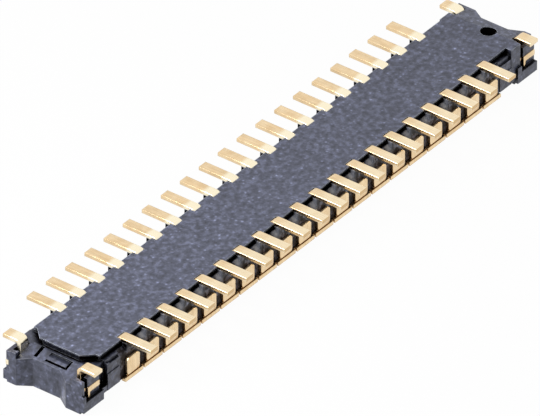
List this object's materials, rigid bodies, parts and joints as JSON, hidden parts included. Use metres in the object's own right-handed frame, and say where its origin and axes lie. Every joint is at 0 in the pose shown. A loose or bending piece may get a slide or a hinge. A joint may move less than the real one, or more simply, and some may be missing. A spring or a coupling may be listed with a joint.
{
  "type": "fpc connector",
  "caption": "Plug of a two-row FPC-to-board connector: moulded housing, two rows of formed contacts and a fitting nail at each corner.",
  "frame": {"origin": "middle of the rectangle that the end blocks rest on, mating side down", "axes": "+X along the contact rows, away from the end with the pocket and towards the end with the round hole; +Z out of the soldering side; near row on the -Y side"},
  "size_m": [0.0096, 0.002, 0.0006],
  "materials": {
    "housing": "matte",
    "gold": "satin"
  },
  "bodies": {
    "root": {"contact_far_01": "gold", "contact_far_02": "gold", "contact_far_03": "gold", "contact_far_04": "gold", "contact_far_05": "gold", "contact_far_06": "gold", "contact_far_07": "gold", "contact_far_08": "gold", "contact_far_09": "gold", "contact_far_10": "gold", "contact_far_11": "gold", "contact_far_12": "gold", "contact_far_13": "gold", "contact_far_14": "gold", "contact_far_15": "gold", "contact_far_16": "gold", "contact_far_17": "gold", "contact_far_18": "gold", "contact_far_19": "gold", "contact_far_20": "gold", "contact_near_01": "gold", "contact_near_02": "gold", "contact_near_03": "gold", "contact_near_04": "gold", "contact_near_05": "gold", "contact_near_06": "gold", "contact_near_07": "gold", "contact_near_08": "gold", "contact_near_09": "gold", "contact_near_10": "gold", "contact_near_11": "gold", "contact_near_12": "gold", "contact_near_13": "gold", "contact_near_14": "gold", "contact_near_15": "gold", "contact_near_16": "gold", "contact_near_17": "gold", "contact_near_18": "gold", "contact_near_19": "gold", "contact_near_20": "gold", "fitting_nail_far_left": "gold", "fitting_nail_far_right": "gold", "fitting_nail_near_left": "gold", "fitting_nail_near_right": "gold", "housing": "housing"}
  },
  "joints": []
}
